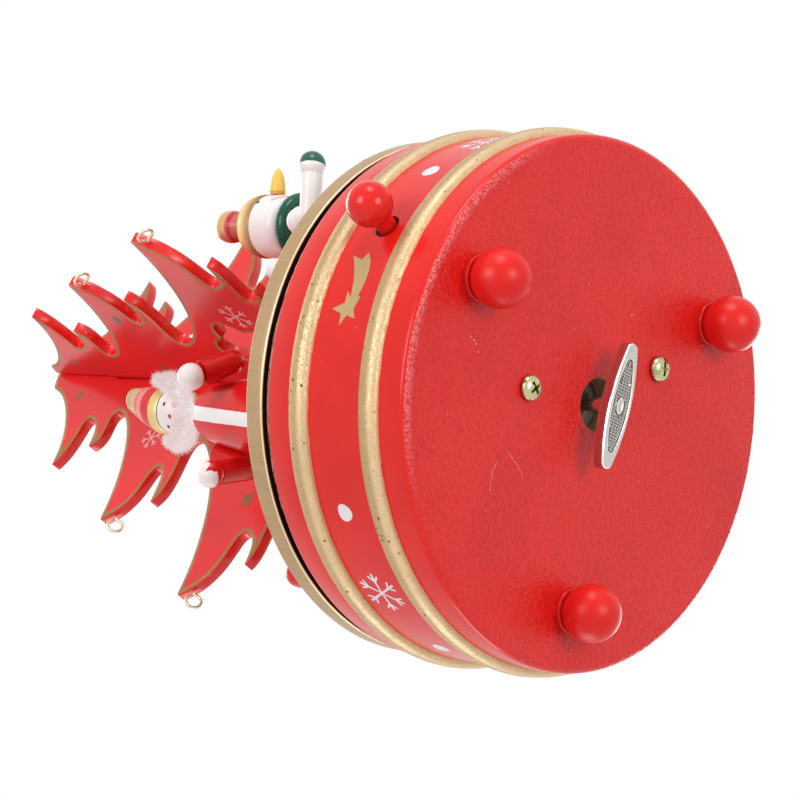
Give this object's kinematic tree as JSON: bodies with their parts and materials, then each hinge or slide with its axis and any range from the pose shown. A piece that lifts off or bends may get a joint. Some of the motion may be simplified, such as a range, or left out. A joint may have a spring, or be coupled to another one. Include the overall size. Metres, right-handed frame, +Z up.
{
  "type": "wind-up music box",
  "caption": "Clockwork music box: turned wooden drum on ball feet, with a turntable that carries a crossed-panel fir tree and small wooden figures.",
  "frame": {"origin": "on the drum's axis, in the plane that the three ball feet rest on", "axes": "+Z up along the drum's axis, towards the tree's top; -Y towards the side that the picture's camera stands on; +X towards the snowman"},
  "size_m": [0.1112, 0.1112, 0.1764],
  "materials": {
    "red_lacquer": "glossy red lacquer on wood",
    "lid_board": "bare fibreboard",
    "yellow_zinc": "yellow zinc plate",
    "key_chrome": "polished, hatched panel",
    "steel": "machined",
    "bedplate_nickel": "nickel plated casting",
    "brass": "machined or drawn",
    "spring_steel": "blued strip",
    "gold_paint": "satin gold paint on wood",
    "tree_panel_paint": "glossy red paint on plywood, gold outline",
    "robe_paint": "glossy red paint on wood",
    "cap_paint": "red paint with stripes on wood",
    "white_paint": "glossy white paint on wood",
    "doll_face": "pale pink paint on wood",
    "white_fur": "white plush trim",
    "scarf_green": "dark green gloss paint on wood",
    "carrot": "orange-yellow paint on wood"
  },
  "bodies": {
    "case": {"drum": "red_lacquer", "drum_lid": "lid_board", "foot_1": "red_lacquer", "foot_2": "red_lacquer", "foot_3": "red_lacquer", "movement_screw_1": "yellow_zinc", "movement_screw_2": "yellow_zinc", "bedplate": "bedplate_nickel", "bracket_inner": "bedplate_nickel", "bracket_outer": "bedplate_nickel", "governor_bracket": "bedplate_nickel", "comb_block": "bedplate_nickel", "comb": "steel"},
    "turntable": {"spring_barrel": "brass", "contrate_wheel": "brass", "mainspring": "spring_steel", "table_shaft": "steel", "turntable": "gold_paint", "tree_panel_a": "tree_panel_paint", "tree_panel_b": "tree_panel_paint", "screw_eye_1_2": "brass", "screw_eye_1_3": "brass", "screw_eye_2_2": "brass", "screw_eye_2_3": "brass", "screw_eye_3_2": "brass", "screw_eye_3_3": "brass", "screw_eye_4_2": "brass", "screw_eye_4_3": "brass", "doll_robe": "robe_paint", "doll_head": "doll_face", "doll_cap": "cap_paint", "doll_fur_collar": "white_fur", "doll_arm_left": "robe_paint", "doll_arm_right": "robe_paint", "doll_hand_left": "doll_face", "doll_hand_right": "doll_face", "snowman_body": "white_paint", "snowman_scarf": "scarf_green", "snowman_head": "white_paint", "snowman_hat": "gold_paint", "snowman_bobble": "gold_paint", "snowman_nose": "carrot", "snowman_arm_left": "white_paint", "snowman_arm_right": "white_paint", "snowman_mitten_left": "scarf_green", "snowman_mitten_right": "scarf_green", "white_peg": "white_paint", "red_peg": "robe_paint"},
    "key": {"winding_key": "key_chrome", "ratchet_wheel": "steel"},
    "cylinder": {"pinned_cylinder": "brass", "cylinder_pinion": "steel", "worm_wheel": "brass"},
    "governor": {"governor_fly": "brass"},
    "stop_rod": {"stop_knob": "red_lacquer", "stop_dowel": "red_lacquer", "stop_wire": "steel"}
  },
  "joints": [
    {"name": "turntable_spin", "type": "hinge", "parent": "case", "child": "turntable", "pos_m": [0, 0, 0.04985], "axis": [0, 0, 1], "continuous": true},
    {"name": "key_wind", "type": "hinge", "parent": "case", "child": "key", "pos_m": [0, 0, 0.00365], "axis": [0, 0, -1], "continuous": true},
    {"name": "cylinder_turn", "type": "hinge", "parent": "case", "child": "cylinder", "pos_m": [0, 0, 0.0268], "axis": [0.7455, -0.6665, 0], "continuous": true},
    {"name": "governor_spin", "type": "hinge", "parent": "case", "child": "governor", "pos_m": [0.02366, -0.03055, 0.02], "axis": [0, 0, 1], "continuous": true},
    {"name": "stop_slide", "type": "slide", "parent": "case", "child": "stop_rod", "axis": [0.606, -0.7955, 0], "range_m": [0, 0.0025]}
  ],
  "couplings": [
    {"joint": "cylinder_turn", "follows": "turntable_spin", "ratio": 4},
    {"joint": "governor_spin", "follows": "turntable_spin", "ratio": 32}
  ]
}
